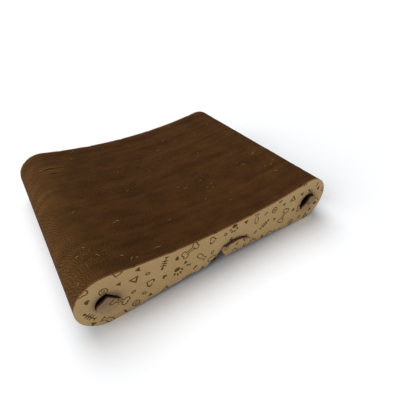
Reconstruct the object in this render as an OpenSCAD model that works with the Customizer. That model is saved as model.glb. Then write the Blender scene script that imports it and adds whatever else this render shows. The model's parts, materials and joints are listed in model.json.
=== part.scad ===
/* [Outline] */
// Length of the scratcher over both round ends
length = 540; // [460:5:700]
// Diameter of each round end
end_d = 104; // [94:1:120]
// How far the hollow in the top dips below the round ends
hollow_depth = 19; // [8:1:28]
// Rise of the base between the round ends
base_rise = 12; // [3:0.5:14]
// Width of the flat that each round end rests on
foot_w = 16; // [8:1:26]

/* [Core] */
// Depth of the core, from the front panel to the back panel
core_depth = 420; // [300:10:500]
// Number of strips glued face to face, at most 52
strip_count = 42; // [30:1:50]

/* [Side panels] */
// Thickness of each printed panel
panel_t = 3; // [2.5:0.5:5]

/* [Round end holes] */
// Diameter of the hole cut in each end of a panel
end_hole_d = 41; // [34:1:44]
// Distance of the middle of those holes from the tips of the round ends
end_hole_inset = 50; // [46:1:58]
// Height of the middle of those holes above the floor
end_hole_h = 47; // [45:1:51]
// How far the crease of each end flap lies below the middle of its hole
end_crease_drop = 15.5; // [12:0.5:16]

/* [Middle arch] */
// Width of the arch at floor level
arch_w = 96; // [76:2:104]
// Distance of the arch to the right of the middle
arch_x = 24; // [-60:2:60]
// Height of the crease of the middle flap above the floor
arch_crease_h = 17; // [16.5:0.5:22]

/* [Tunnels] */
// How much wider the tunnels are than the holes, on each side
tunnel_margin = 5.5; // [4:0.25:6]

/* [Flaps] */
// Width of the die cut round each flap
die_cut = 0.35; // [0.2:0.05:0.6]
// How much the crease is crushed on each face of the board
crease_crush = 0.5; // [0.25:0.05:0.75]
// Gap between the crushed crease and the panel below it
crease_gap = 0.3; // [0.2:0.05:0.6]
// Outward lean of the left flaps, in degrees
lean_left = 15; // [0:1:25]
// Outward lean of the middle flaps, in degrees
lean_middle = 12; // [0:1:25]
// Outward lean of the right flaps, in degrees
lean_right = 17; // [0:1:25]

/* [Hidden] */
$fn = 180;

end_r = end_d / 2;
end_x = length / 2 - end_r;
// The foot flat trims a little off each round end, so its middle sits lower than its radius
end_z = sqrt(end_r * end_r - foot_w * foot_w / 4);

strip_t = core_depth / strip_count;
panel_mid_y = (core_depth + panel_t) / 2;

// Heights of the two hollows, measured from the middle of the round ends
top_rise = end_r - hollow_depth;
base_drop = end_z - base_rise;

end_hole_r = end_hole_d / 2;
end_hole_x = length / 2 - end_hole_inset;
end_crease_h = end_hole_h - end_crease_drop;
arch_r = arch_w / 2;

// Room that the crease needs below its axis
crease_room = panel_t / 2 + crease_gap;

flap_names = ["front_left_flap", "front_middle_flap", "front_right_flap",
    "back_left_flap", "back_middle_flap", "back_right_flap"];
function strip_name(i) = str("core_strip_", i < 10 ? "0" : "", i);

// Radius of a hollow that touches both round ends and passes rise away from their line of centres
function hollow_r(rise) = (end_x * end_x + rise * rise - end_r * end_r) / (2 * (end_r - rise));

// Where that hollow touches the right-hand round end
function hollow_touch(rise) =
    let (r = hollow_r(rise), share = end_r / (end_r + r))
    [end_x * (1 - share), (rise + r) * share];

// Half the width of a round hole at a given distance from its middle
function half_chord(r, d) = sqrt(r * r - d * d);

// Half the width of a flap's neck, beside its crease
function neck_half(r, middle_h) =
    min(half_chord(r, middle_h), half_chord(r, abs(middle_h) + (middle_h < 0 ? panel_t : 0))) - die_cut;

// Colours of the two boards
module kraft() { color("#c39a62") children(); }
module brown_board() { color("#4d3019") children(); }

// Outline of the side: two round ends joined by a waist that is hollow above and below
module side_outline() {
    top = hollow_touch(top_rise);
    base = hollow_touch(base_drop);
    difference() {
        translate([0, end_z]) union() {
            for (side = [-1, 1]) translate([side * end_x, 0]) circle(r = end_r);
            polygon([[-end_x, 0], [-base.x, -base.y], [base.x, -base.y],
                [end_x, 0], [top.x, top.y], [-top.x, top.y]]);
        }
        translate([0, end_z + top_rise + hollow_r(top_rise)]) circle(r = hollow_r(top_rise), $fn = 720);
        translate([0, end_z - base_drop - hollow_r(base_drop)]) circle(r = hollow_r(base_drop), $fn = 720);
        translate([-length, -length]) square([2 * length, length]);
    }
}

// Hole for one flap, drawn from the middle of its crease: a round cut with a slit along the crease
module flap_hole(r, middle_h) {
    half = neck_half(r, middle_h) + 2 * die_cut;
    difference() {
        translate([0, middle_h]) circle(r = r);
        translate([-2 * r, -2 * r]) square([4 * r, 2 * r]);
    }
    translate([-half, -crease_room]) square([2 * half, 2 * crease_room]);
}

// Board of one flap: the round cut-out, drawn in where it meets its crease
module flap_outline(r, middle_h) {
    half = neck_half(r, middle_h);
    difference() {
        translate([0, middle_h]) circle(r = r - die_cut);
        translate([-2 * r, -2 * r]) square([4 * r, 2 * r]);
        for (side = [-1, 1]) translate([side * (half + r), panel_t / 2]) {
            square([2 * r, panel_t], center = true);
        }
    }
}

// Stands an outline up in its board, with the middle of the board at y = 0
module board(t) {
    translate([0, t / 2, 0]) rotate([90, 0, 0]) linear_extrude(height = t) children();
}

// A flap upright over its crease, which is the x axis
module upright_flap(r, middle_h) {
    board(panel_t) flap_outline(r, middle_h);
    rotate([0, 90, 0]) {
        cylinder(r = panel_t / 2 - crease_crush, h = 2 * neck_half(r, middle_h), center = true);
    }
}

// The three flaps of the front panel, each leaning out from its crease
module left_flap() {
    kraft() translate([-end_hole_x, -panel_mid_y, end_crease_h]) rotate([lean_left, 0, 0]) {
        upright_flap(end_hole_r, end_crease_drop);
    }
}
module middle_flap() {
    kraft() translate([arch_x, -panel_mid_y, arch_crease_h]) rotate([lean_middle, 0, 0]) {
        upright_flap(arch_r, -arch_crease_h);
    }
}
module right_flap() {
    kraft() translate([end_hole_x, -panel_mid_y, end_crease_h]) rotate([lean_right, 0, 0]) {
        upright_flap(end_hole_r, end_crease_drop);
    }
}

// Printed board of the front, with its three holes
module panel() {
    kraft() translate([0, -panel_mid_y, 0]) board(panel_t) difference() {
        side_outline();
        for (side = [-1, 1]) translate([side * end_hole_x, end_crease_h]) {
            flap_hole(end_hole_r, end_crease_drop);
        }
        translate([arch_x, arch_crease_h]) flap_hole(arch_r, -arch_crease_h);
    }
}

module front_panel() { panel(); }
module back_panel() { mirror([0, 1, 0]) panel(); }
module front_left_flap() { left_flap(); }
module front_middle_flap() { middle_flap(); }
module front_right_flap() { right_flap(); }
module back_left_flap() { mirror([0, 1, 0]) left_flap(); }
module back_middle_flap() { mirror([0, 1, 0]) middle_flap(); }
module back_right_flap() { mirror([0, 1, 0]) right_flap(); }

// One corrugated strip, counted from the front, with the three tunnels through it
module core_strip(i) {
    brown_board() translate([0, strip_t * (i - 0.5) - core_depth / 2, 0]) board(strip_t) difference() {
        side_outline();
        for (side = [-1, 1]) translate([side * end_hole_x, end_hole_h]) {
            circle(r = end_hole_r + tunnel_margin);
        }
        translate([arch_x, 0]) circle(r = arch_r + tunnel_margin);
    }
}

front_panel();
back_panel();
front_left_flap();
front_middle_flap();
front_right_flap();
back_left_flap();
back_middle_flap();
back_right_flap();
for (i = [1:strip_count]) core_strip(i);
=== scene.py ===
"""Looks of a cardboard cat scratcher: printed side boards, creased flaps and a core of fluted strips."""
import json
import math

import bpy
import numpy as np
from mathutils import Matrix, Vector
from mathutils.geometry import delaunay_2d_cdt


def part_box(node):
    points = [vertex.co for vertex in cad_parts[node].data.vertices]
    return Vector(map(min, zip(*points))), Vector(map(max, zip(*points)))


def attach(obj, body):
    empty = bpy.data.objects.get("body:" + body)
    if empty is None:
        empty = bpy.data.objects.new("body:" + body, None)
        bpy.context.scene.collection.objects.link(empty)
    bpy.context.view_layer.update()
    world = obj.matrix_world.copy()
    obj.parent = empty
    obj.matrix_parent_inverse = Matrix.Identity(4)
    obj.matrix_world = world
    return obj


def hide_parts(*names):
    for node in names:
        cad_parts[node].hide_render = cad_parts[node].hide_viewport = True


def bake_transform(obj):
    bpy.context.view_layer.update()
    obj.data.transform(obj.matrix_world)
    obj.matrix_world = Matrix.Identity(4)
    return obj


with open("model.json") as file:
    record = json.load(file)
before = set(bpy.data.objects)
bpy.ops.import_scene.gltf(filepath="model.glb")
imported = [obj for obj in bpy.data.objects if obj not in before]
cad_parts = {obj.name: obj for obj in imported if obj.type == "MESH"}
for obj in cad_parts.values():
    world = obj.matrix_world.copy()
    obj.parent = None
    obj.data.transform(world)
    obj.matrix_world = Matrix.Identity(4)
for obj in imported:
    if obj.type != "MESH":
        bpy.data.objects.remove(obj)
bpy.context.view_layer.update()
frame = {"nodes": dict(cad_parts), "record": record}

# Sizes that the frame gives, in metres
panel_low, panel_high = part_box("front_panel")
strip_low, strip_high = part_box("core_strip_01")
LENGTH = panel_high[0] - panel_low[0]
PANEL_T = panel_high[1] - panel_low[1]
STRIP_T = strip_high[1] - strip_low[1]
PANEL_MID_Y = -(panel_low[1] + panel_high[1]) / 2
STRIP_NAMES = sorted(name for name in frame["nodes"] if name.startswith("core_strip"))
CORE_FRONT_Y = strip_low[1]

# Outline of the side, as in the construction
END_R = 0.052
FOOT_W = 0.016
HOLLOW_DEPTH = 0.019
BASE_RISE = 0.012
END_X = LENGTH / 2 - END_R
END_Z = math.sqrt(END_R ** 2 - (FOOT_W / 2) ** 2)
TOP_RISE = END_R - HOLLOW_DEPTH
BASE_DROP = END_Z - BASE_RISE

# Holes of the side boards, their flaps and the tunnels behind them, as in the construction
END_HOLE_R = 0.0205
END_HOLE_H = 0.047
ARCH_R = 0.048
TUNNEL_MARGIN = 0.0055
DIE_CUT = 0.00035
CREASE_CRUSH = 0.0005
CREASE_GAP = 0.0003
CREASE_ROOM = PANEL_T / 2 + CREASE_GAP
CREASE_ROUND = PANEL_T / 2 - CREASE_CRUSH
SWING_OUT = 90

# How far a flap's board reaches below its crease
FLAP_FOOT = CREASE_ROUND * 0.95

# Lip that stays on the side board at the upper right of a left hole, as two points from the hole's middle
LIP_START = (0.0010, 0.0208)
LIP_END = (0.0208, -0.0020)

# Left corner of a middle flap, folded inwards: its fold line from the arch's middle, its reach past that,
# and the width, turn and mesh lines of the fold
FOLD_X = -0.020
FOLD_REACH = 0.018
FOLD_BEND = 0.004
FOLD_TURN = math.radians(50)
FOLD_SHARES = (0, 0.25, 0.5, 0.75, 1)

# Slope of the tear that parts this corner from the crease
TEAR_SLOPE = 1.5

# How far the arch's left foot is worn away, along the base and up the arch
FOOT_WEAR_X = 0.015
FOOT_WEAR_Z = 0.011

# Paper and flutes
LINER_T = 0.0004
FLUTE_PAPER_T = 0.00035
FLUTE_PITCH = 0.005
FLUTE_LAYERS = 3
PANEL_PITCH = 0.008

# Steps of the meshes: columns to a flute, turn between the points of an arc, and how far the columns follow
# a round end from its tip
STEPS_PER_FLUTE = 6
ARC_STEP = math.radians(3)
END_TURN = math.pi / 3

# Plans are triangulated in millimetres, where points closer together than MERGE become one
MILLI = 1000
MERGE = 0.001

# Distance in metres within which a point lies on an outline
TOUCH = 1e-6

# One seed for each thing that is drawn at random
PRINT_SEED, CORE_SEED, NICK_SEED, FIBRE_SEED, REST_SEED = range(7, 12)


# Plan of the side: heights of the top and the base at each place along the length
def hollow_radius(rise):
    return (END_X ** 2 + rise ** 2 - END_R ** 2) / (2 * (END_R - rise))


def hollow_touch(rise):
    radius = hollow_radius(rise)
    return END_X * radius / (END_R + radius)


def end_half(x):
    """Half the height of a round end at x, taken from its middle."""
    return np.sqrt(np.maximum(END_R ** 2 - (np.abs(x) - END_X) ** 2, 0))


def top_z(x):
    radius = hollow_radius(TOP_RISE)
    hollow = END_Z + TOP_RISE + radius - np.sqrt(radius ** 2 - np.asarray(x) ** 2)
    return np.where(np.abs(x) > hollow_touch(TOP_RISE), END_Z + end_half(x), hollow)


def base_z(x):
    radius = hollow_radius(BASE_DROP)
    hollow = END_Z - BASE_DROP - radius + np.sqrt(radius ** 2 - np.asarray(x) ** 2)
    low = np.where(np.abs(x) > hollow_touch(BASE_DROP), END_Z - end_half(x), hollow)
    return np.maximum(low, 0)


def columns(pitch, steps):
    """Places along the length: a step of the flutes, and closer together at the round ends."""
    count = int(LENGTH / pitch) * steps // 2
    even = np.arange(-count, count + 1) * pitch / steps
    turn = np.arange(ARC_STEP / 2, END_TURN, ARC_STEP)
    ends = END_X + END_R * np.cos(turn)
    inner = even[np.abs(even) < ends.min()]
    return np.sort(np.concatenate([inner, ends, -ends]))


def uprights(xs):
    """A line from the base to the top at each place."""
    return [np.array([[x, base_z(x)], [x, top_z(x)]]) for x in xs]


def posts(xs, low, high):
    """An upright line at each place."""
    return [np.array([[x, low], [x, high]]) for x in xs]


def rows(zs, left, right):
    """A level line at each height."""
    return [np.array([[left, z], [right, z]]) for z in zs]


def side_loop(xs):
    """Closed outline of the side through the columns xs."""
    low = np.column_stack([xs, base_z(xs)])
    high = np.column_stack([xs, top_z(xs)])[::-1]
    return np.concatenate([low, [[LENGTH / 2, END_Z]], high, [[-LENGTH / 2, END_Z]]])


def circle_loop(centre, radius):
    turn = np.arange(0, 2 * math.pi - ARC_STEP / 2, ARC_STEP)
    return np.column_stack([centre[0] + radius * np.cos(turn), centre[1] + radius * np.sin(turn)])


def box_loop(x0, x1, z0, z1):
    return np.array([[x0, z0], [x1, z0], [x1, z1], [x0, z1]])


def in_side(x, z):
    return (z > base_z(x)) & (z < top_z(x)) & (np.abs(x) < LENGTH / 2)


def in_circle(x, z, centre, radius):
    return (x - centre[0]) ** 2 + (z - centre[1]) ** 2 < radius ** 2


def in_loop(x, z, loop):
    """Even-odd test of many points against one closed outline."""
    inside = np.zeros(len(x), bool)
    for (x0, z0), (x1, z1) in zip(loop, np.roll(loop, -1, axis=0)):
        crosses = (z0 > z) != (z1 > z)
        if crosses.any():
            at = x0 + (z[crosses] - z0) * (x1 - x0) / (z1 - z0)
            inside[crosses] ^= x[crosses] < at
    return inside


# Smooth steps and unevenness
def smooth(share):
    share = np.clip(share, 0, 1)
    return share * share * (3 - 2 * share)


RIPPLE_WAVES = 4
RIPPLE_SHARES = (0.6, 1.8)


def ripple(rng, x, wavelength):
    """Smooth unevenness along x, from -1 to 1: a few waves, each some share of the wavelength long."""
    total = 0
    for _ in range(RIPPLE_WAVES):
        length = wavelength * rng.uniform(*RIPPLE_SHARES)
        total = total + np.sin(x / length * 2 * math.pi + rng.uniform(0, 2 * math.pi))
    return total / RIPPLE_WAVES


# Triangles of a plan and the sheets that are raised from them
def plan_of(loops, lines, dots, keep):
    """Points and triangles between closed loops, across open lines and dots, where keep is true."""
    points, edges = [], []
    for shape, closed in [(loop, True) for loop in loops] + [(line, False) for line in lines]:
        first = len(points)
        points += list(shape)
        edges += [(first + i, first + i + 1) for i in range(len(shape) - 1)]
        if closed:
            edges.append((len(points) - 1, first))
    points += list(dots)
    flat = [Vector(point) * MILLI for point in points]
    result = delaunay_2d_cdt(flat, edges, [], 0, MERGE)
    corners = np.array([tuple(point) for point in result[0]]) / MILLI
    faces = np.array(result[2])
    a, b, c = (corners[faces[:, k]] for k in range(3))
    area = np.cross(b - a, c - a)
    faces = np.where((area < 0)[:, None], faces[:, ::-1], faces)
    centre = (a + b + c) / 3
    faces = faces[keep(*centre.T) & (np.abs(area) > 0)]
    used, faces = np.unique(faces, return_inverse=True)
    return corners[used], faces.reshape(-1, 3)


def rim_of(faces):
    """Directed edges that only one triangle has."""
    edges = np.concatenate([faces[:, [0, 1]], faces[:, [1, 2]], faces[:, [2, 0]]])
    size = faces.max() + 1
    forward = edges[:, 0] * size + edges[:, 1]
    backward = edges[:, 1] * size + edges[:, 0]
    return edges[~np.isin(forward, backward)]


def raise_sheet(plan, front, back):
    """Closed sheet over a plan: front and back hold the three coordinates of each point."""
    faces = plan[1]
    count = len(plan[0])
    rim = rim_of(faces)
    a, b = rim[:, 0], rim[:, 1]
    walls = np.concatenate([np.column_stack([a, a + count, b]), np.column_stack([b, a + count, b + count])])
    return np.concatenate([front, back]), np.concatenate([faces, faces[:, ::-1] + count, walls])


def join_sheets(sheets):
    """One mesh of many sheets, with a mark for each face that names its material."""
    points, faces, marks, first = [], [], [], 0
    for sheet_points, sheet_faces, sheet_marks in sheets:
        points.append(sheet_points)
        faces.append(sheet_faces + first)
        marks.append(sheet_marks)
        first += len(sheet_points)
    return np.concatenate(points), np.concatenate(faces), np.concatenate(marks)


def grid_dots(low_x, high_x, low_z, high_z, step, keep):
    """Points of a square grid where keep is true."""
    grid_x, grid_z = np.meshgrid(np.arange(low_x, high_x, step), np.arange(low_z, high_z, step))
    dots = np.column_stack([grid_x.ravel(), grid_z.ravel()])
    return dots[keep(*dots.T)]


def add_object(name, data):
    added = bpy.data.objects.new(name, data)
    bpy.context.scene.collection.objects.link(added)
    return added


def make_piece(name, points, faces, marks, materials, body, node=None, tones=None, side="front"):
    """A mesh piece, mirrored for the back, that rides on body and stands for node where those are given."""
    if side == "back":
        points, faces = points * [1, -1, 1], faces[:, ::-1]
    mesh = bpy.data.meshes.new(name)
    mesh.from_pydata(points.tolist(), [], faces.tolist())
    mesh.polygons.foreach_set("material_index", np.asarray(marks, np.int32))
    if tones is not None:
        layer = mesh.attributes.new("tone", "FLOAT", "POINT")
        layer.data.foreach_set("value", np.asarray(tones, np.float32))
    for material in materials:
        mesh.materials.append(material)
    mesh.update()
    piece = add_object(name, mesh)
    if body:
        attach(piece, body)
    if node:
        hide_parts(node)
    return piece


# Colours of the papers
KRAFT_PALE = (0.560, 0.378, 0.175)
KRAFT_DEEP = (0.510, 0.340, 0.152)
# Cut edges, flutes and inner faces of the side boards: kraft darkened with painted shade
SHADED_EDGE_PALE = (0.310, 0.130, 0.045)
SHADED_EDGE_DEEP = (0.200, 0.082, 0.028)
LOOSE_PALE = (0.42, 0.27, 0.13)
LOOSE_DEEP = (0.28, 0.17, 0.08)
INK = (0.110, 0.056, 0.009)
BOARD_PALE = (0.084, 0.033, 0.0085)
BOARD_DEEP = (0.044, 0.017, 0.0042)
# Pale board of worn places, also used for the painted light on the left round end
BOARD_WORN_AND_LIT = (0.230, 0.118, 0.032)

# What painted shade, fibres and specks do to each channel of the paper under them
SHADE_TINT = (0.50, 0.48, 0.60)
KRAFT_FIBRE_SHADE = 0.80
KRAFT_SPECK_SHADE = 0.45
BOARD_FIBRE_SHADE = 1.5

# Noises of the papers: features a metre along each axis, detail, the part of the range that is used, and the
# most that it covers
NOISE_ROUGH = 0.6
KRAFT_CLOUD = ((22, 22, 30), 3.0, (0.35, 0.68), 1.0)
KRAFT_FIBRE = ((260, 260, 1500), 2.0, (0.42, 0.72), 0.55)
KRAFT_SPECK = ((900, 900, 1400), 1.0, (0.70, 0.76), 0.50)
INK_PATCHES = ((500, 500, 900), 2.0, (0.45, 0.75), 0.20)
BOARD_CLOUD = ((20, 34, 30), 4.0, (0.36, 0.64), 1.0)
BOARD_FIBRE = ((500, 500, 700), 2.0, (0.40, 0.75), 0.50)

# Strength and height of the fibres' relief
KRAFT_BUMP = (0.35, 0.0002)
BOARD_BUMP = (0.40, 0.0003)


def add_node(tree, kind, values):
    """A new shader node with some of its inputs set."""
    node = tree.nodes.new(kind)
    for name, value in values.items():
        node.inputs[name].default_value = value
    return node


def shader(name, roughness, specular):
    material = bpy.data.materials.new(name)
    material.use_nodes = True
    tree = material.node_tree
    tree.nodes.clear()
    out = tree.nodes.new("ShaderNodeOutputMaterial")
    principled = add_node(tree, "ShaderNodeBsdfPrincipled",
                          {"Roughness": roughness, "Specular IOR Level": specular})
    tree.links.new(principled.outputs["BSDF"], out.inputs["Surface"])
    return material, tree, principled


def cover(tree, stretch, detail, span, most):
    """Share that a noise covers at each place of the object, from none to most."""
    place = tree.nodes.new("ShaderNodeTexCoord")
    mapping = add_node(tree, "ShaderNodeMapping", {"Scale": stretch})
    texture = add_node(tree, "ShaderNodeTexNoise", {"Scale": 1.0, "Detail": detail, "Roughness": NOISE_ROUGH})
    ramp = add_node(tree, "ShaderNodeMapRange",
                    {"From Min": span[0], "From Max": span[1], "To Min": 0.0, "To Max": most})
    tree.links.new(place.outputs["Object"], mapping.inputs["Vector"])
    tree.links.new(mapping.outputs["Vector"], texture.inputs["Vector"])
    tree.links.new(texture.outputs["Fac"], ramp.inputs["Value"])
    return ramp.outputs["Result"]


def mix(tree, share, first, second):
    """Colour between first and second, each a colour or a socket."""
    node = tree.nodes.new("ShaderNodeMix")
    node.data_type = "RGBA"
    tree.links.new(share, node.inputs[0])
    colour_inputs = [socket for socket in node.inputs if socket.type == "RGBA"]
    for value, socket in zip((first, second), colour_inputs):
        if isinstance(value, tuple):
            socket.default_value = (*value, 1.0)
        else:
            tree.links.new(value, socket)
    return next(socket for socket in node.outputs if socket.type == "RGBA")


def shaded(colour, shade):
    return tuple(channel * shade for channel in colour)


def tone_of(tree):
    """The mesh's tone at each point."""
    tone = tree.nodes.new("ShaderNodeAttribute")
    tone.attribute_name = "tone"
    return tone.outputs["Fac"]


def bump(tree, principled, height, strength, distance):
    node = add_node(tree, "ShaderNodeBump", {"Strength": strength, "Distance": distance})
    tree.links.new(height, node.inputs["Height"])
    tree.links.new(node.outputs["Normal"], principled.inputs["Normal"])


def kraft_material(name, pale, deep, roughness):
    """Kraft paper: cloudy pulp, short fibres and dark specks, with painted shade where the tone is high."""
    material, tree, principled = shader(name, roughness, specular=0.25)
    fibre = cover(tree, *KRAFT_FIBRE)
    pulp = mix(tree, cover(tree, *KRAFT_CLOUD), pale, deep)
    streaked = mix(tree, fibre, pulp, shaded(pale, KRAFT_FIBRE_SHADE))
    specked = mix(tree, cover(tree, *KRAFT_SPECK), streaked, shaded(deep, KRAFT_SPECK_SHADE))
    # Painted shade: the deep kraft dimmed and tinted, laid on where the tone is high
    painted_shade_colour = tuple(channel * shade for channel, shade in zip(deep, SHADE_TINT))
    tree.links.new(mix(tree, tone_of(tree), specked, painted_shade_colour), principled.inputs["Base Color"])
    bump(tree, principled, fibre, *KRAFT_BUMP)
    return material


def ink_material():
    """Brown ink that lets a little of the kraft paper through."""
    material, tree, principled = shader("brown_ink", roughness=0.85, specular=0.1)
    tree.links.new(mix(tree, cover(tree, *INK_PATCHES), INK, KRAFT_DEEP), principled.inputs["Base Color"])
    return material


def board_material():
    """Dark brown board, paler where the tone is high: wear, and painted light on the left round end."""
    material, tree, principled = shader("fluted_board", roughness=0.9, specular=0.1)
    fibre = cover(tree, *BOARD_FIBRE)
    pulp = mix(tree, cover(tree, *BOARD_CLOUD), BOARD_PALE, BOARD_DEEP)
    streaked = mix(tree, fibre, pulp, shaded(BOARD_PALE, BOARD_FIBRE_SHADE))
    tree.links.new(mix(tree, tone_of(tree), streaked, BOARD_WORN_AND_LIT), principled.inputs["Base Color"])
    bump(tree, principled, fibre, *BOARD_BUMP)
    return material


kraft = kraft_material("kraft_liner", KRAFT_PALE, KRAFT_DEEP, roughness=0.75)
shaded_kraft_edge = kraft_material("kraft_cut_edge", SHADED_EDGE_PALE, SHADED_EDGE_DEEP, roughness=0.9)
ink = ink_material()
board = board_material()
loose_paper = kraft_material("loose_paper", LOOSE_PALE, LOOSE_DEEP, roughness=0.9)

# Materials of the side boards and flaps, and the marks that name them
PANEL_MATERIALS = [kraft, ink, shaded_kraft_edge]
KRAFT_MARK, INK_MARK, SHADED_EDGE_MARK = range(3)


# Places of the creases and leans of the flaps, from the frame, and the holes over them
def crease_of(place):
    """Where a crease runs and how far its flap leans out."""
    joint = next(j for j in frame["record"]["behaviour"]["joints"] if j["name"] == f"front_{place}_crease")
    lean = math.radians(SWING_OUT - joint["range_deg"][1])
    return joint["pos_m"][0], joint["pos_m"][2], lean


CREASES = {place: crease_of(place) for place in ("left", "middle", "right")}
HOLES = {
    "left": ((CREASES["left"][0], END_HOLE_H), END_HOLE_R),
    "middle": ((CREASES["middle"][0], 0.0), ARCH_R),
    "right": ((CREASES["right"][0], END_HOLE_H), END_HOLE_R),
}
ARCH_X, ARCH_CREASE_H = CREASES["middle"][:2]


def half_chord(radius, distance):
    return math.sqrt(radius ** 2 - distance ** 2)


def neck_half(place):
    """Half the width of a flap's neck beside its crease."""
    (_, middle_z), radius = HOLES[place]
    drop = middle_z - CREASES[place][1]
    beyond = abs(drop) + (PANEL_T if drop < 0 else 0)
    return min(half_chord(radius, drop), half_chord(radius, beyond)) - DIE_CUT


def slit_half(place):
    """Half the width of the slit along a crease."""
    return neck_half(place) + 2 * DIE_CUT


def lip_loop(gap=0.0):
    """Strip over the lip of the left hole, widened towards the hole's middle by gap."""
    (cx, cz), radius = HOLES["left"]
    start, end = np.array(LIP_START), np.array(LIP_END)
    along = (end - start) / np.linalg.norm(end - start)
    out = np.array([-along[1], along[0]])
    overrun = along * radius / 4
    low_start = start - out * gap - overrun
    low_end = end - out * gap + overrun
    return np.array([low_start, low_end, low_end + out * radius, low_start + out * radius]) + [cx, cz]


def tear_loop():
    """Region of a middle flap that is missing between its folded corner and the crease."""
    fold, crease_z = ARCH_X + FOLD_X, ARCH_CREASE_H
    return np.array([[fold, crease_z - ARCH_R], [fold, crease_z],
                     [fold - ARCH_R, crease_z + ARCH_R * TEAR_SLOPE], [fold - ARCH_R, crease_z - ARCH_R]])


def torn_strip_loop():
    """Strip of the side board that is missing under that corner, from the slit to the fold."""
    return box_loop(ARCH_X - slit_half("middle"), ARCH_X + FOLD_X, ARCH_CREASE_H - ARCH_R, ARCH_CREASE_H)


def worn_foot_loop():
    """Corner of the side board at the arch's left foot, worn away to a slant."""
    foot = ARCH_X - half_chord(ARCH_R, BASE_RISE)
    start, end = foot - FOOT_WEAR_X, foot + FOOT_WEAR_X
    low, high = BASE_RISE - FOOT_WEAR_Z, BASE_RISE + FOOT_WEAR_Z
    return np.array([[start, base_z(start) - TOUCH], [end, low], [end, high], [foot, high]])


def in_hole(x, z, place):
    centre, radius = HOLES[place]
    crease_z = CREASES[place][1]
    slit = (np.abs(x - centre[0]) < slit_half(place)) & (np.abs(z - crease_z) < CREASE_ROOM)
    hole = in_circle(x, z, centre, radius) & (z > crease_z)
    if place == "left":
        hole &= ~in_loop(x, z, lip_loop())
    if place == "middle":
        hole |= in_loop(x, z, torn_strip_loop()) | in_loop(x, z, worn_foot_loop())
    return hole | slit


def in_panel(x, z):
    open_air = in_hole(x, z, "left") | in_hole(x, z, "middle") | in_hole(x, z, "right")
    return in_side(x, z) & ~open_air


def in_flap(x, z, place):
    centre, radius = HOLES[place]
    crease_z = CREASES[place][1]
    neck = (np.abs(x - centre[0]) < neck_half(place)) & (z > crease_z - FLAP_FOOT)
    inside = in_circle(x, z, centre, radius - DIE_CUT) & (z > crease_z + PANEL_T)
    inside |= neck & (z < crease_z + PANEL_T)
    if place == "left":
        inside &= ~in_loop(x, z, lip_loop(2 * DIE_CUT))
    if place == "middle":
        inside &= (x > centre[0] + FOLD_X - FOLD_REACH) & ~in_loop(x, z, tear_loop())
    return inside


def in_strip(x, z):
    hollow = np.zeros(len(x), bool)
    for centre, radius in HOLES.values():
        hollow |= in_circle(x, z, centre, radius + TUNNEL_MARGIN)
    return in_side(x, z) & ~hollow


# Print: each motif is a list of (outer loop, inner loop or None) in its own units
def blob(cx, cz, rx, rz, turn=0.0, count=14):
    angle = np.arange(count) * 2 * math.pi / count
    x, z = rx * np.cos(angle), rz * np.sin(angle)
    cosine, sine = math.cos(turn), math.sin(turn)
    return np.column_stack([cx + x * cosine - z * sine, cz + x * sine + z * cosine])


def filled(shape):
    return [(shape(0.0), None)]


def ring(shape, line):
    """Outline of a shape(inset) drawn with a line of that width."""
    return [(shape(0.0), shape(line))]


def paw():
    toes = [(-0.62, 0.18, 0.35), (-0.24, 0.58, 0.1), (0.24, 0.58, -0.1), (0.62, 0.18, -0.35)]
    pad = [(blob(0, -0.38, 0.50, 0.36), None)]
    return pad + [(blob(x, z, 0.17, 0.25, turn), None) for x, z, turn in toes]


def bone_loop(inset):
    """A bar with two round knobs at each end, drawn from notch to bar round each knob."""
    knob, half_bar, reach, spread = 0.33 - inset, 0.19 - inset, 0.67, 0.19
    drop = spread - half_bar
    points_per_knob = 9
    points = []
    for side_x, side_z in [(1, -1), (1, 1), (-1, 1), (-1, -1)]:
        centre = np.array([side_x * reach, side_z * spread])
        bar = math.atan2(-side_z * drop, -side_x * half_chord(knob, drop))
        notch = math.atan2(-side_z * spread, side_x * half_chord(knob, spread))
        start, stop = (bar, notch) if side_x * side_z < 0 else (notch, bar)
        if stop < start:
            stop += 2 * math.pi
        for angle in np.linspace(start, stop, points_per_knob):
            points.append(centre + knob * np.array([math.cos(angle), math.sin(angle)]))
    return np.array(points)


def fish_loop(inset):
    """A round body, open at the left, where the corners of the tail close it."""
    turn = np.linspace(math.radians(20), math.radians(340), 20)
    body = np.column_stack([0.25 - (0.62 - inset) * np.cos(turn), (0.36 - inset) * np.sin(turn)])
    tail = np.array([[inset - 0.80, 1.8 * inset - 0.40], [inset - 0.80, 0.40 - 1.8 * inset]])
    return np.concatenate([body, tail])


def heart_loop(inset):
    """The usual heart curve, scaled by its height of 17 units below the middle."""
    turn = np.linspace(0, 2 * math.pi, 28, endpoint=False)
    x = 16 * np.sin(turn) ** 3
    z = 13 * np.cos(turn) - 5 * np.cos(2 * turn) - 2 * np.cos(3 * turn) - np.cos(4 * turn)
    return np.column_stack([x, z]) / 17 * (1 - 1.15 * inset)


def ear_loop(inset):
    turn = np.radians([90, 215, 325])
    return (0.9 - 2.2 * inset) * np.column_stack([np.cos(turn), np.sin(turn)])


def oval_loop(inset):
    return blob(0, 0, 1 - inset, 0.7 - inset)


def fishbone():
    spine, head = box_loop(-0.8, 0.75, -0.08, 0.08), blob(-0.82, 0, 0.22, 0.2)
    ribs = [box_loop(x - 0.08, x + 0.08, -0.42, 0.42) for x in (-0.35, 0.0, 0.35)]
    tail = np.array([[0.7, 0], [1.0, -0.35], [1.0, 0.35]])
    return [(loop, None) for loop in (spine, head, *ribs, tail)]


def yarn():
    ball = ring(lambda inset: blob(0, 0, 0.7 - inset, 0.7 - inset, count=20), 0.19)
    bands = [(-0.24, 0.48), (0.0, 0.58), (0.24, 0.48)]
    return ball + [(blob(x, 0, 0.06, tall, 0.5), None) for x, tall in bands]


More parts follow.
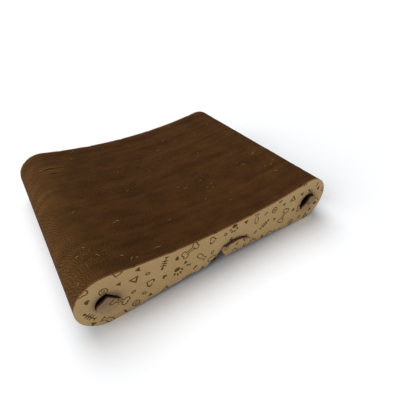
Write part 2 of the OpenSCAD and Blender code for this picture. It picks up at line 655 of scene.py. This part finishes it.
# Drawing and size of each motif, in metres a unit
LARGE_MOTIFS = [
    (paw(), 0.0125),
    (ring(bone_loop, 0.12), 0.0180),
    (ring(ear_loop, 0.22), 0.0110),
    (ring(fish_loop, 0.13), 0.0150),
    (ring(heart_loop, 0.30), 0.0095),
    (fishbone(), 0.0135),
    (yarn(), 0.0105),
]
SMALL_MOTIFS = [
    (filled(ear_loop), 0.0068),
    (filled(heart_loop), 0.0052),
    ([(box_loop(-1, 1, -0.36, 0.36), None)], 0.0048),
    (filled(ear_loop), 0.0058),
    (ring(oval_loop, 0.45), 0.0046),
]

# Layout of the large motifs, and the steps through their list from one column and row to the next
PRINT_ROWS = 4
PRINT_COLUMNS = 12
PRINT_STEP_X = 0.050
PRINT_STEP_Z = 0.031
PRINT_LOW = 0.010
PRINT_SHIFT = 0.004
COLUMN_SKIP = 3
ROW_SKIP = 5


def place_motif(rng, motif, size, x, z):
    turn = rng.uniform(0, 2 * math.pi)
    turned = np.array([[math.cos(turn), math.sin(turn)], [-math.sin(turn), math.cos(turn)]])

    def placed(loop):
        return None if loop is None else loop * size @ turned + [x, z]

    return [(placed(outer), placed(inner)) for outer, inner in motif]


def print_shapes():
    """Large motifs in staggered rows over the side and small ones between them, turned and shifted."""
    rng = np.random.default_rng(PRINT_SEED)
    shapes, taken, small = [], [], []
    for row in range(PRINT_ROWS):
        for column in range(PRINT_COLUMNS):
            motif, size = LARGE_MOTIFS[(column * COLUMN_SKIP + row * ROW_SKIP) % len(LARGE_MOTIFS)]
            x = (column + (1 - PRINT_COLUMNS + row % 2) / 2) * PRINT_STEP_X + rng.uniform(-1, 1) * PRINT_SHIFT
            z = PRINT_LOW + row * PRINT_STEP_Z + rng.uniform(-1, 1) * PRINT_SHIFT
            shapes += place_motif(rng, motif, size, x, z)
            taken.append((x, z, size))
            small.append((x + PRINT_STEP_X / 2, z))
            if column % 2 == row % 2:
                small.append((x + PRINT_STEP_X / 4, z + PRINT_STEP_Z / 2))
    for number, (x, z) in enumerate(small):
        motif, size = SMALL_MOTIFS[number % len(SMALL_MOTIFS)]
        x += rng.uniform(-1, 1) * PRINT_SHIFT
        z += rng.uniform(-1, 1) * PRINT_SHIFT
        if all(math.hypot(x - near_x, z - near_z) > reach + size for near_x, near_z, reach in taken):
            shapes += place_motif(rng, motif, size, x, z)
    return shapes


PRINT = print_shapes()


def print_near(low_x, high_x, low_z, high_z):
    """Shapes of the print that reach into a box."""
    near = []
    for outer, inner in PRINT:
        (x0, z0), (x1, z1) = outer.min(axis=0), outer.max(axis=0)
        if x1 > low_x and x0 < high_x and z1 > low_z and z0 < high_z:
            near.append((outer, inner))
    return near


def loops_of(shapes):
    return [loop for pair in shapes for loop in pair if loop is not None]


def clipped(loops, keep):
    """Those loops that have a point where keep is true."""
    return [loop for loop in loops if keep(*loop.T).any()]


def ink_marks(plan, shapes):
    """The mark of ink for each triangle of the plan that the print covers, and that of kraft for the rest."""
    corners, faces = plan
    x, z = corners[faces].mean(axis=1).T
    marks = np.full(len(faces), KRAFT_MARK)
    for outer, inner in shapes:
        covered = in_loop(x, z, outer)
        if inner is not None:
            covered &= ~in_loop(x, z, inner)
        marks[covered] = INK_MARK
    return marks


# Dent round each end hole, with the shares of its reach at which the mesh has rings, and wear along the rim
DENT_DEPTH = 0.0008
DENT_REACH = 0.005
DENT_RING_SHARES = (0.3, 0.7, 1.2, 2.0)
RIM_WEAR = 0.00015
RIM_RIPPLE = 0.02
RIM_NICKS = (-0.245, -0.171, -0.108, -0.101, -0.020, 0.062, 0.190)
NICK_DEPTH = 0.0009
NICK_REACH = 0.0035

# Twist of the end flaps: where it starts and ends from the hole's middle, and its slopes left and right of it
TWISTS = {"left": (-0.012, 0.001, 0.0, -0.095), "right": (-0.018, -0.002, 0.100, -0.085)}

# Painted shade on the flaps and round their holes: its strength at each hole, its reach from the rim, and its
# share below the crease
PAINTED_SHADE = {"left": 0.95, "middle": 0.2, "right": 0.95}
PAINTED_SHADE_REACH = 0.0055
PAINTED_SHADE_LOW = 0.45

# Mesh of the liners: steps of their grids, columns from one point of the rim to the next, and rows of a flap
# about its crease, as shares of the crease's radius
PANEL_GRID = 0.006
FLAP_GRID = 0.004
RIM_STEP = 3
CREASE_ROW_SHARES = (-0.8, -0.5, 0, 1)


def wave(x, pitch, shift=0.0):
    return np.sin((x / pitch + shift) * 2 * math.pi)


def flute_thickness(x, pitch, height, shift=0.0):
    """Half the flute's paper along the board's thickness, which grows with the slope of the wave."""
    slope = height * 2 * math.pi / pitch * np.cos((x / pitch + shift) * 2 * math.pi)
    return FLUTE_PAPER_T / 2 * np.sqrt(1 + slope ** 2)


def dent(x, z):
    """How far a side board is pressed in round its end holes, over the flap."""
    depth = 0
    for place in ("left", "right"):
        (cx, cz), radius = HOLES[place]
        out = np.hypot(x - cx, z - cz) - radius
        above = np.clip((z - cz) / radius, 0, 1)
        near = np.exp(-np.maximum(out, 0) / DENT_REACH) - np.minimum(out, 0) / DENT_REACH
        depth = depth + DENT_DEPTH * near * above
    return depth


def nick(x):
    """How far the top rim of a side board is worn down at x."""
    depth = RIM_WEAR * (1 + ripple(np.random.default_rng(NICK_SEED), x, RIM_RIPPLE))
    for place in RIM_NICKS:
        depth = depth + NICK_DEPTH * np.exp(-((x - place) / NICK_REACH) ** 2)
    return depth


def painted_shade_share(place, x, z):
    """Share of painted shade at a place of the flat board: on the flap and round its hole, most over the
    crease.
    """
    (cx, cz), radius = HOLES[place]
    out = np.maximum(np.hypot(x - cx, z - cz) - radius, 0)
    high = smooth((z - CREASES[place][1]) / radius)
    return PAINTED_SHADE[place] * np.exp(-out / PAINTED_SHADE_REACH) * (PAINTED_SHADE_LOW + (1 - PAINTED_SHADE_LOW) * high)


def board_sheets(front_plan, flute_plan, marks, place_of):
    """The two liners and the flutes of a side board or flap; place_of(x, z, y) puts a point in space."""
    def sheet(plan, outer, inner, outer_marks, inner_marks):
        x, z = plan[0].T
        points, faces = raise_sheet(plan, place_of(x, z, outer), place_of(x, z, inner))
        count = len(plan[1])
        # Flutes, inner faces and cut edges take the kraft darkened with painted shade
        all_marks = np.full(len(faces), SHADED_EDGE_MARK)
        all_marks[:count] = outer_marks
        all_marks[count:2 * count] = inner_marks
        return points, faces, all_marks

    half = PANEL_T / 2
    wave_h = half - LINER_T - FLUTE_PAPER_T / 2
    flute_x = flute_plan[0][:, 0]
    middle = wave_h * wave(flute_x, PANEL_PITCH)
    thick = flute_thickness(flute_x, PANEL_PITCH, wave_h)
    return [
        sheet(front_plan, -half, LINER_T - half, marks, SHADED_EDGE_MARK),
        sheet(flute_plan, middle - thick, middle + thick, SHADED_EDGE_MARK, SHADED_EDGE_MARK),
        sheet(flute_plan, half - LINER_T, half, SHADED_EDGE_MARK, KRAFT_MARK),
    ]


def panel_plans():
    """Plans of a side board's printed liner and of its flutes, and the marks of the print."""
    xs = columns(PANEL_PITCH, STEPS_PER_FLUTE)
    holes = [lip_loop(), torn_strip_loop(), worn_foot_loop()]
    rings = []
    for place, (centre, radius) in HOLES.items():
        crease_x, crease_z, _ = CREASES[place]
        half = slit_half(place)
        holes.append(circle_loop(centre, radius))
        low, high = crease_z - CREASE_ROOM, crease_z + CREASE_ROOM
        holes.append(box_loop(crease_x - half, crease_x + half, low, high))
        holes.append(box_loop(crease_x - radius, crease_x + radius, crease_z - 2 * radius, crease_z))
        rings += [circle_loop(centre, radius + share * DENT_REACH) for share in DENT_RING_SHARES]
    flute = plan_of([side_loop(xs), *holes], uprights(xs), [], in_panel)
    shapes = print_near(-LENGTH, LENGTH, -LENGTH, LENGTH)
    loops = clipped(loops_of(shapes), in_panel)
    dots = grid_dots(-LENGTH / 2, LENGTH / 2, PANEL_GRID / 2, 2 * END_Z, PANEL_GRID, in_panel)
    ring_dots = np.concatenate(rings)
    dots = np.concatenate([dots, ring_dots[in_panel(*ring_dots.T)]])
    front = plan_of([side_loop(xs[::RIM_STEP]), *holes, *loops], [], dots, in_panel)
    return front, flute, ink_marks(front, shapes)


def make_panel(side, plans):
    def place_of(x, z, y):
        rim = np.abs(z - top_z(x)) < TOUCH
        return np.column_stack([x, y - PANEL_MID_Y + dent(x, z), z - nick(x) * rim])

    points, faces, marks = join_sheets(board_sheets(*plans, place_of))
    # Tone of the painted shade round the holes
    tones = sum(painted_shade_share(place, points[:, 0], points[:, 2]) for place in HOLES)
    make_piece(f"{side}_printed_board", points, faces, marks, PANEL_MATERIALS, "scratcher",
               f"{side}_panel", tones, side)


def flap_plans(place):
    """Plans of a flap's printed liner and of its flutes, and the marks of the print."""
    (cx, cz), radius = HOLES[place]
    crease_z = CREASES[place][1]
    half = neck_half(place)
    radius -= DIE_CUT
    low, high = crease_z - FLAP_FOOT, cz + radius
    pitch = PANEL_PITCH / STEPS_PER_FLUTE
    xs = np.arange(math.ceil((cx - radius) / pitch), (cx + radius) / pitch) * pitch
    cuts = [circle_loop((cx, cz), radius), box_loop(cx - 2 * radius, cx + 2 * radius, low - radius, low),
            box_loop(cx - 2 * radius, cx - half, low, crease_z + PANEL_T),
            box_loop(cx + half, cx + 2 * radius, low, crease_z + PANEL_T)]
    folds = []
    if place == "left":
        cuts.append(lip_loop(2 * DIE_CUT))
    if place == "middle":
        torn = cx + FOLD_X - FOLD_REACH
        cuts += [box_loop(torn - radius, torn, low - radius, high + radius), tear_loop()]
        folds = [cx + FOLD_X - share * FOLD_BEND for share in FOLD_SHARES]
    heights = [crease_z + share * CREASE_ROUND for share in CREASE_ROW_SHARES]
    row_lines = rows(heights, cx - half - pitch, cx + half + pitch)
    fold_lines = posts(folds, low - pitch, high + pitch)
    lines = posts(xs, low - pitch, high + pitch)

    def keep(x, z):
        return in_flap(x, z, place)

    flute = plan_of(cuts, lines + row_lines, [], keep)
    shapes = print_near(cx - radius, cx + radius, low, high)
    loops = clipped(loops_of(shapes), keep)
    dots = grid_dots(cx - radius, cx + radius, low, high, FLAP_GRID, keep)
    front = plan_of([*cuts, *loops], row_lines + fold_lines, dots, keep)
    return front, flute, ink_marks(front, shapes)


def twist(place, x, up):
    """How far a flap's board stands out of its plane, towards the outside."""
    if place not in TWISTS:
        return np.zeros(len(x))
    start, end, low, high = TWISTS[place]
    share = smooth((x - HOLES[place][0][0] - start) / (end - start))
    return np.maximum(up, 0) * (low + (high - low) * share)


def folded_corner(place, x, out):
    """The middle flap's corner, bent inwards about an upright fold."""
    if place != "middle":
        return x, out
    fold = ARCH_X + FOLD_X
    past = np.maximum(fold - x, 0)
    turn = FOLD_TURN * np.minimum(past / FOLD_BEND, 1)
    beyond = np.maximum(past - FOLD_BEND, 0)
    across = FOLD_BEND / FOLD_TURN * np.sin(turn) + beyond * math.cos(FOLD_TURN)
    deep = FOLD_BEND / FOLD_TURN * (1 - np.cos(turn)) + beyond * math.sin(FOLD_TURN)
    return np.where(past > 0, fold - across - out * np.sin(turn), x), out * np.cos(turn) - deep


def leaned(x, out, up, turn, crease_z):
    """Points of the front board, out of its plane and up from its crease, turned about that crease."""
    return np.column_stack([x, -out * np.cos(turn) - up * np.sin(turn) - PANEL_MID_Y,
                            -out * np.sin(turn) + up * np.cos(turn) + crease_z])


def make_flap(side, place, plans):
    front_plan, flute_plan, _ = plans
    _, crease_z, lean = CREASES[place]
    half = PANEL_T / 2

    def place_of(x, z, y):
        up = z - crease_z
        crushed = 1 - np.clip(1 - up / PANEL_T, 0, 1) * CREASE_CRUSH / half
        rounded = CREASE_ROUND / half * np.sqrt(np.clip(1 - (up / CREASE_ROUND) ** 2, 0, 1))
        out = twist(place, x, up) - y * np.where(up < 0, rounded, crushed)
        x, out = folded_corner(place, x, out)
        return leaned(x, out, up, lean, crease_z)

    points, faces, marks = join_sheets(board_sheets(*plans, place_of))
    sheet_plans = (front_plan, flute_plan, flute_plan)
    # Tone of the painted shade on the flap
    tones = np.concatenate([np.tile(painted_shade_share(place, *plan[0].T), 2) for plan in sheet_plans])
    flap = f"{side}_{place}_flap"
    make_piece(f"{side}_{place}_printed_flap", points, faces, marks, PANEL_MATERIALS, flap,
               flap, tones, side)


# Liner paper that runs on from a side board to its flap: how far it laps over each and stands proud, its
# thickness and its rows
PAPER_LAP = 0.0015
PAPER_PROUD = 0.00012
PAPER_T = 0.00018
PAPER_ROWS = 16


def crease_paper_plan(place):
    cx = HOLES[place][0][0]
    crease_z = CREASES[place][1]
    half = neck_half(place)
    low_x = cx + FOLD_X if place == "middle" else cx - half
    low, high = crease_z - CREASE_ROOM - PAPER_LAP, crease_z + PANEL_T + PAPER_LAP
    high_x = cx + half
    shapes = print_near(low_x, high_x, low, high)
    lines = rows(np.linspace(low, high, PAPER_ROWS), low_x, high_x)
    lines += posts(np.arange(low_x, high_x, FLAP_GRID), low, high)

    def keep(x, z):
        return (x > low_x) & (x < high_x) & (z > low) & (z < high)

    plan = plan_of([box_loop(low_x, high_x, low, high), *loops_of(shapes)], lines, [], keep)
    return plan, ink_marks(plan, shapes)


def make_crease_paper(side, place):
    plan, marks = crease_paper_plan(place)
    crease_x, crease_z, lean = CREASES[place]
    x = plan[0][:, 0]
    up = plan[0][:, 1] - crease_z
    turn = lean * smooth(1 + up / CREASE_ROOM)
    crushed = CREASE_CRUSH * np.clip(1 - np.abs(up) / np.where(up > 0, PANEL_T, CREASE_ROOM), 0, 1)

    def face(proud):
        out = PANEL_T / 2 - crushed + proud + twist(place, x, up)
        return leaned(x, out, up, turn, crease_z)

    points, faces = raise_sheet(plan, face(PAPER_PROUD), face(PAPER_PROUD - PAPER_T))
    all_marks = np.full(len(faces), KRAFT_MARK)
    all_marks[:len(marks)] = marks
    piece = make_piece(f"{side}_{place}_crease_paper", points, faces, all_marks, PANEL_MATERIALS, None,
                       tones=np.tile(painted_shade_share(place, *plan[0].T), 2), side=side)
    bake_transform(piece)


# Scratched patch of the top: its middle and reach, and how it is worn
PATCH_X = -0.213
PATCH_Y = -0.158
PATCH_REACH = 0.024
PATCH_WEAR = 0.0030
PATCH_PALE = (0.4, 1.0)
PATCH_ROUGH = (0.3, 1)
CLUMP = 0.006

# Strips that have come apart: middle, reach along the length and width of the opening; then how far the push
# fades over the depth, and the reach and tone of the pale edges beside them
SPLITS = [
    (-0.210, 0.130, 0.024, 0.0028), (-0.204, 0.110, 0.020, 0.0022), (-0.245, 0.050, 0.016, 0.0012),
    (-0.243, 0.020, 0.018, 0.0012), (0.215, -0.060, 0.035, 0.0012), (-0.205, -0.010, 0.030, 0.0010),
]
SPLIT_FADE = 0.020
RIDGE_REACH = 0.009
RIDGE_PALE = 0.35
WIDEST_SPLIT = max(opening for _, _, _, opening in SPLITS)

# Wear of the whole top: how far it is worn down, sags, frays and sways, and over what lengths
TOP_WEAR = 0.0004
TOP_RIPPLE = 0.012
SAG = 0.0006
FRAY = 0.00025
SWAY = 0.00025
SWAY_RIPPLE = 0.05

# Tones of the strips, and painted light on the left round end: its tone, where it starts and how far it takes
# to grow
STRIP_TONE = 0.10
END_PAINTED_LIGHT = 0.13
END_PAINTED_LIGHT_X = 0.13
END_PAINTED_LIGHT_FADE = 0.10


def scratched(x, y):
    return np.exp(-((x - PATCH_X) / PATCH_REACH) ** 2 - ((y - PATCH_Y) / PATCH_REACH) ** 2)


def ridge(x, y):
    """Share of the pale tone along the torn edges where strips have come apart."""
    share = 0
    for split_x, split_y, reach, opening in SPLITS:
        across = np.exp(-((y - split_y) / RIDGE_REACH) ** 2)
        share = share + RIDGE_PALE * opening / WIDEST_SPLIT * across * np.exp(-((x - split_x) / reach) ** 2)
    return share


def painted_end_light(x):
    """Share of the pale tone painted on the left round end as light falling on it."""
    return END_PAINTED_LIGHT * smooth((-x - END_PAINTED_LIGHT_X) / END_PAINTED_LIGHT_FADE)


def split_apart(x, y):
    """How far the top of a sheet at y is pushed along the depth where strips have come apart."""
    push = 0
    for split_x, split_y, reach, opening in SPLITS:
        seam = CORE_FRONT_Y + round((split_y - CORE_FRONT_Y) / STRIP_T) * STRIP_T
        fade = math.exp(-abs(y - seam) / SPLIT_FADE) * (1 if y > seam else -1)
        push = push + opening * fade * np.exp(-((x - split_x) / reach) ** 2)
    return push


def strip_plans():
    """Plans of a strip's flutes and of its liners, which have half as many columns."""
    xs = columns(FLUTE_PITCH, STEPS_PER_FLUTE)
    tunnels = [circle_loop(centre, radius + TUNNEL_MARGIN) for centre, radius in HOLES.values()]
    return [plan_of([side_loop(places), *tunnels], uprights(places), [], in_strip)
            for places in (xs, xs[::2])]


def make_strip(number, name, plans, rng):
    """One strip of the core: liners with flutes between them, worn along the top."""
    flute_plan, liner_plan = plans
    y0 = CORE_FRONT_Y + (number - 1) * STRIP_T
    layer = (STRIP_T - (FLUTE_LAYERS + 1) * LINER_T) / FLUTE_LAYERS
    wave_h = (layer - FLUTE_PAPER_T) / 2
    drop = rng.uniform(0, SAG)
    shift = rng.integers(0, STEPS_PER_FLUTE, FLUTE_LAYERS) / STEPS_PER_FLUTE
    tone = rng.uniform(0, STRIP_TONE)
    seeds = rng.integers(0, 2 ** 31, 3)
    tones = []

    def sheet(plan, low_y, high_y, seed):
        sheet_rng = np.random.default_rng(seed)
        x, z = plan[0].T
        y = float(np.mean(low_y + high_y)) / 2
        on_top = np.abs(z - top_z(x)) < TOUCH
        torn = scratched(x, y) * np.clip(2 * ripple(sheet_rng, x, CLUMP), 0, 1)
        worn = drop + TOP_WEAR * (1 + ripple(sheet_rng, x, TOP_RIPPLE)) / 2
        worn = worn + PATCH_WEAR * torn * sheet_rng.uniform(*PATCH_ROUGH, len(x))
        sway = SWAY * ripple(sheet_rng, x, SWAY_RIPPLE) + split_apart(x, y)
        sway = sway + PATCH_WEAR / 2 * torn * sheet_rng.uniform(-1, 1, len(x))
        height = np.where(on_top, z - worn, z)
        front = np.column_stack([x, low_y + (sway - FRAY) * on_top, height])
        back = np.column_stack([x, high_y + (sway + FRAY) * on_top, height])
        points, faces = raise_sheet(plan, front, back)
        # Pale tone: per strip, painted light on the left end, the split ridges and the scratched patch
        pale = tone + painted_end_light(x) + ridge(x, y) + torn * sheet_rng.uniform(*PATCH_PALE, len(x))
        tones.append(np.tile(pale, 2))
        return points, faces, np.zeros(len(faces), int)

    sheets = []
    for k in range(FLUTE_LAYERS + 1):
        low = np.full(len(liner_plan[0]), y0 + k * (layer + LINER_T))
        sheets.append(sheet(liner_plan, low, low + LINER_T, seeds[0] + k))
    flute_x = flute_plan[0][:, 0]
    for k in range(FLUTE_LAYERS):
        centre = y0 + LINER_T + layer / 2 + k * (layer + LINER_T)
        middle = centre + wave_h * wave(flute_x, FLUTE_PITCH, shift[k])
        thick = flute_thickness(flute_x, FLUTE_PITCH, wave_h, shift[k])
        sheets.append(sheet(flute_plan, middle - thick, middle + thick, seeds[1] + k))
    points, faces, marks = join_sheets(sheets)
    make_piece(name.replace("core", "fluted"), points, faces, marks, [board], "scratcher",
               name, np.concatenate(tones))


def make_core():
    plans = strip_plans()
    rng = np.random.default_rng(CORE_SEED)
    for number, name in enumerate(STRIP_NAMES, 1):
        make_strip(number, name, plans, rng)


# Painted shade: a dark rest of the outer strips' liner that hangs in the arch behind its worn foot, put there
# for the shade: its torn edge, how ragged that is, over what length and in how many points, and how far it is
# curled inwards
REST_X = -0.0145
REST_RAGGED = 0.001
REST_RIPPLE = 0.006
REST_POINTS = 30
REST_CURL = 0.003
REST_CURL_REACH = 0.020


# Painted shade: a dark sheet of board in the arch behind its worn foot
def make_shade_liner(side):
    centre, radius = HOLES["middle"]
    radius += TUNNEL_MARGIN
    edge_z = np.linspace(0, radius, REST_POINTS)
    edge_x = REST_X + REST_RAGGED * ripple(np.random.default_rng(REST_SEED), edge_z, REST_RIPPLE)
    far = centre[0] - 2 * radius
    edge = np.concatenate([np.column_stack([edge_x, edge_z]), [[far, radius], [far, 0]]])

    def keep(x, z):
        return in_side(x, z) & in_circle(x, z, centre, radius) & in_loop(x, z, edge)

    xs = columns(FLUTE_PITCH, STEPS_PER_FLUTE)[::2]
    plan = plan_of([side_loop(xs), circle_loop(centre, radius), edge], [], [], keep)
    x, z = plan[0].T
    inside = np.maximum(radius - np.hypot(x - centre[0], z - centre[1]), 0)
    y = CORE_FRONT_Y + REST_CURL * (inside / REST_CURL_REACH) ** 2
    front = np.column_stack([x, y, z])
    points, faces = raise_sheet(plan, front, front + [0, LINER_T, 0])
    make_piece(f"{side}_shade_liner", points, faces, np.zeros(len(faces), int), [board], "scratcher",
               tones=np.zeros(len(points)), side=side)


# Loose fibres that scratching has pulled up: places and lengths of those seen, the number strewn about, their
# lengths and share of the depth, and the width, thickness and stations of each
FIBRE_PLACES = [
    (-0.166, -0.194, 0.007), (-0.158, -0.196, 0.005), (-0.120, -0.192, 0.013), (-0.147, 0.196, 0.009),
    (0.210, -0.110, 0.006), (0.184, -0.114, 0.005), (0.196, -0.060, 0.012), (0.230, -0.055, 0.008),
    (-0.177, -0.183, 0.006), (-0.236, -0.150, 0.006), (-0.222, -0.140, 0.005), (-0.208, -0.166, 0.007),
    (-0.228, 0.131, 0.009), (-0.249, -0.195, 0.006),
]
FIBRES_STREWN = 34
FIBRE_LENGTHS = (0.003, 0.008)
FIBRE_DEPTH_SHARE = 0.95
FIBRE_W = 0.0007
FIBRE_T = 0.00015
FIBRE_STATIONS = 7

# Curl of a fibre: spreads of its turn and its bend in radians, its rise as shares of its length, and the
# share of its width at its ends
FIBRE_TURN = 0.5
FIBRE_BEND = 0.5
FIBRE_RISE_SHARES = (0.05, 0.25)
FIBRE_TIP = 0.3


def fibre(rng, x, y, length):
    """One curled sliver of paper that lies on the top: a thin ribbon, drawn in at its ends."""
    turn = rng.normal(0, FIBRE_TURN)
    bend = rng.uniform(-FIBRE_BEND, FIBRE_BEND)
    rise = length * rng.uniform(*FIBRE_RISE_SHARES)
    share = np.linspace(0, 1, FIBRE_STATIONS)
    hump = 4 * share * (1 - share)
    heading = turn + bend * (share - 0.5)
    along = (share - 0.5) * length
    px, py = x + along * np.cos(heading), y + along * np.sin(heading)
    low = top_z(px) - TOP_WEAR / 2 + rise * hump
    half = FIBRE_W / 2 * (FIBRE_TIP + (1 - FIBRE_TIP) * hump)
    side_x, side_y = -np.sin(heading) * half, np.cos(heading) * half
    left, right = (px - side_x, py - side_y), (px + side_x, py + side_y)
    ribbon = np.array([(*left, low), (*right, low), (*right, low + FIBRE_T), (*left, low + FIBRE_T)])
    points = ribbon.transpose(2, 0, 1).reshape(-1, 3)
    faces = [(0, 1, 2), (0, 2, 3)]
    for station in range(FIBRE_STATIONS - 1):
        first = 4 * station
        for k in range(4):
            a, b = first + k, first + (k + 1) % 4
            faces += [(a, a + 4, b + 4), (a, b + 4, b)]
    last = 4 * (FIBRE_STATIONS - 1)
    faces += [(last, last + 2, last + 1), (last, last + 3, last + 2)]
    return points, np.array(faces), np.zeros(len(faces), int)


def make_fibres():
    rng = np.random.default_rng(FIBRE_SEED)
    depth = -CORE_FRONT_Y * FIBRE_DEPTH_SHARE
    places = list(FIBRE_PLACES)
    for _ in range(FIBRES_STREWN):
        places.append((rng.uniform(-END_X, END_X), rng.uniform(-depth, depth), rng.uniform(*FIBRE_LENGTHS)))
    points, faces, marks = join_sheets([fibre(rng, *place) for place in places])
    make_piece("loose_paper_fibres", points, faces, marks, [loose_paper], "scratcher")


# Camera, fitted to the photograph's outline
CAMERA_PLACE = (-0.256301, -0.521822, 0.460164)
CAMERA_YAW = math.radians(33.439)
CAMERA_PITCH = math.radians(37.97)
CAMERA_ROLL = math.radians(-0.362)
CAMERA_LENS = 28.0936
CAMERA_SENSOR = 36.0

# Stage: half the floor's width, and the colours of floor and world as light and as the camera sees them
FLOOR_HALF = 8.0
FLOOR_PLAIN = (0.8, 0.8, 0.8, 1)
FLOOR_SEEN = (1.02, 1.03, 1.05, 1)
WORLD_PLAIN = (0.10, 0.10, 0.10, 1)
WORLD_SEEN = (1, 1, 1, 1)

# Soft suns: direction of the middle of the disk, its angle across in degrees, and its strength
SUNS = {
    "key": ((0.0, 0.47, 0.88), 50, 2.02),
    "side": ((-0.89, 0.0, 0.45), 50, 2.20),
    "fill": ((-0.357, -0.930, 0.087), 30, 0.50),
}


def make_camera():
    data = bpy.data.cameras.new("camera")
    data.sensor_width = CAMERA_SENSOR
    data.lens = CAMERA_LENS
    camera = add_object("camera", data)
    yaw, pitch, roll = CAMERA_YAW, CAMERA_PITCH, CAMERA_ROLL
    ahead = Vector((math.sin(yaw) * math.cos(pitch), math.cos(yaw) * math.cos(pitch), -math.sin(pitch)))
    right = Vector((math.cos(yaw), -math.sin(yaw), 0))
    up = right.cross(ahead)
    turned_right = math.cos(roll) * right + math.sin(roll) * up
    turned_up = -math.sin(roll) * right + math.cos(roll) * up
    axes = Matrix((turned_right, turned_up, -ahead)).transposed()
    camera.matrix_world = Matrix.Translation(CAMERA_PLACE) @ axes.to_4x4()
    bpy.context.scene.camera = camera


def camera_rays(tree):
    """1 for rays that the camera, a glossy surface or a clear one sees directly."""
    path = tree.nodes.new("ShaderNodeLightPath")
    total = path.outputs["Is Camera Ray"]
    for name in ("Is Glossy Ray", "Is Transmission Ray"):
        either = tree.nodes.new("ShaderNodeMath")
        either.operation = "MAXIMUM"
        tree.links.new(total, either.inputs[0])
        tree.links.new(path.outputs[name], either.inputs[1])
        total = either.outputs["Value"]
    return total


def set_stage_colour(owner, output_type, shader_type, plain, seen):
    """Gives a stage material or the world one colour as light, and another as it is seen."""
    owner.use_nodes = True
    tree = owner.node_tree
    tree.nodes.clear()
    out = tree.nodes.new(output_type)
    either = tree.nodes.new("ShaderNodeMixShader")
    tree.links.new(camera_rays(tree), either.inputs["Fac"])
    for number, colour in ((1, plain), (2, seen)):
        node = add_node(tree, shader_type, {"Color": colour})
        tree.links.new(node.outputs[0], either.inputs[number])
    tree.links.new(either.outputs["Shader"], out.inputs["Surface"])


def make_floor():
    half = FLOOR_HALF
    corners = [(-half, -half, 0), (half, -half, 0), (half, half, 0), (-half, half, 0)]
    mesh = bpy.data.meshes.new("floor")
    mesh.from_pydata(corners, [], [(0, 1, 2, 3)])
    floor = add_object("floor", mesh)
    material = bpy.data.materials.new("floor")
    set_stage_colour(material, "ShaderNodeOutputMaterial", "ShaderNodeBsdfDiffuse", FLOOR_PLAIN, FLOOR_SEEN)
    mesh.materials.append(material)


def make_world():
    world = bpy.data.worlds.new("studio")
    bpy.context.scene.world = world
    set_stage_colour(world, "ShaderNodeOutputWorld", "ShaderNodeBackground", WORLD_PLAIN, WORLD_SEEN)


def make_sun(name, toward, width, strength):
    data = bpy.data.lights.new(name, "SUN")
    data.angle = math.radians(width)
    data.energy = strength
    lamp = add_object(name, data)
    lamp.rotation_mode = "QUATERNION"
    lamp.rotation_quaternion = Vector(toward).to_track_quat("Z", "Y")


make_camera()
make_world()
make_floor()
for sun_name, sun in SUNS.items():
    make_sun(sun_name, *sun)
bpy.context.scene.view_settings.view_transform = "Standard"

make_core()
board_plans = panel_plans()
for board_side in ("front", "back"):
    make_panel(board_side, board_plans)
    make_shade_liner(board_side)
for flap_place in HOLES:
    both = flap_plans(flap_place)
    for board_side in ("front", "back"):
        make_flap(board_side, flap_place, both)
        make_crease_paper(board_side, flap_place)
make_fibres()
